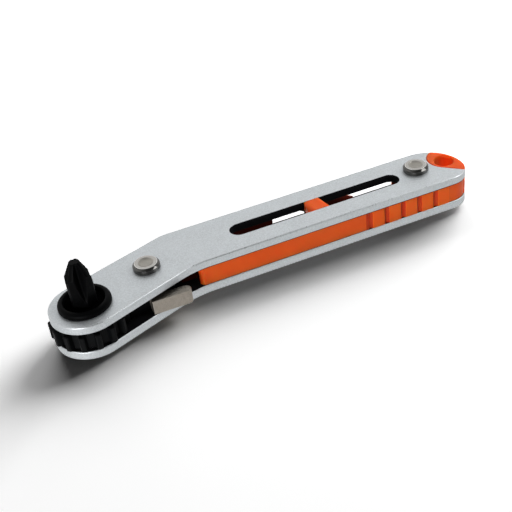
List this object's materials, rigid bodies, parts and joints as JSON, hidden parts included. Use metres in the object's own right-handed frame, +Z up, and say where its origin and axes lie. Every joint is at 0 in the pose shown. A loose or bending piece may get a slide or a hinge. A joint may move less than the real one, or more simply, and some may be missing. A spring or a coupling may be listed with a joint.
{
  "type": "ratcheting screwdriver",
  "caption": "Offset pocket ratchet driver: slotted plates over an orange core, a toothed thumb wheel in the head, a reversing pawl and a cross-point hex bit.",
  "frame": {"origin": "on the drive axis, on the plane that the tool lies on (the face of the lower collar)", "axes": "+X along the handle to the tail, +Y to the far edge that the head bends away from, +Z up along the bit to its point"},
  "size_m": [0.1247, 0.0296, 0.0251],
  "materials": {
    "plate": "bead-blasted, softly bevelled edges",
    "core": "satin orange moulding",
    "bright_steel": "polished rim, dull dish",
    "blackened_steel": "black oxide, satin",
    "black_collar": "satin black",
    "bronze": "plain bearing bronze",
    "spring_steel": "drawn wire",
    "black_bit": "black phosphate, worn at the point",
    "pawl_steel": "matt, slightly warm"
  },
  "bodies": {
    "frame": {"top_plate": "plate", "bottom_plate": "plate", "handle_core": "core", "core_sleeve": "bright_steel", "front_rivet": "bright_steel", "rear_rivet": "bright_steel", "upper_bush": "bronze", "lower_bush": "bronze", "upper_washer": "bright_steel", "lower_washer": "bright_steel", "pawl_sleeve": "bright_steel", "pawl_washer": "bright_steel", "detent_spring": "spring_steel"},
    "wheel": {"ratchet_wheel": "blackened_steel", "top_collar": "black_collar", "bottom_collar": "black_collar", "bit_clip": "spring_steel"},
    "bit": {"screwdriver_bit": "black_bit"},
    "pawl": {"reversing_pawl": "pawl_steel"},
    "plunger": {"detent_plunger": "spring_steel"}
  },
  "joints": [
    {"name": "drive_turn", "type": "hinge", "parent": "frame", "child": "wheel", "pos_m": [0, 0, 0], "axis": [0, 0, 1], "continuous": true},
    {"name": "bit_pull", "type": "slide", "parent": "wheel", "child": "bit", "axis": [0, 0, 1], "range_m": [0, 0.012]},
    {"name": "pawl_rock", "type": "hinge", "parent": "frame", "child": "pawl", "pos_m": [0.01842, 0.0067, 0.0064], "axis": [0, 0, 1], "range_deg": [0, 16]},
    {"name": "detent_press", "type": "slide", "parent": "frame", "child": "plunger", "axis": [0.9397, 0.342, 0], "range_m": [0, 0.0008], "deforming": ["detent_spring"]}
  ]
}
